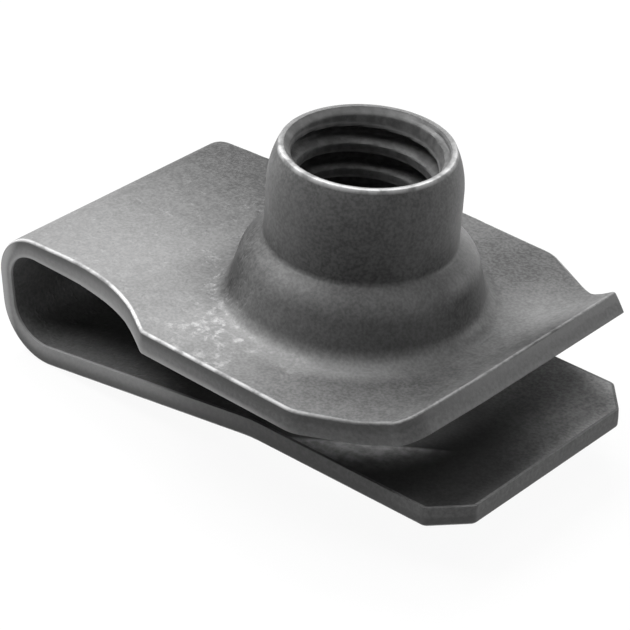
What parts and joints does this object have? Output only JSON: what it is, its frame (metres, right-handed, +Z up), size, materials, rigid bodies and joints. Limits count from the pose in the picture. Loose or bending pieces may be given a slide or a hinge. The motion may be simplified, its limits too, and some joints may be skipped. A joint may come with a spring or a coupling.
{
  "type": "j-clip nut",
  "caption": "Clip-on nut folded from spring steel sheet: a threaded barrel stands on the upper leaf, and the lower leaf grips the edge of a panel.",
  "frame": {"origin": "on the thread's axis, where the threaded wall begins above the shoulder, the side that the screw comes in", "axes": "+X along the leaves to the open end, +Y across the strip, +Z up the barrel and away from the leaves"},
  "size_m": [0.0298, 0.0204, 0.0155],
  "materials": {
    "phosphated_steel": "spring steel, dark grey phosphate and oil, satin with a fine mottled grain"
  },
  "bodies": {
    "root": {"clip_nut": "phosphated_steel"}
  },
  "joints": []
}
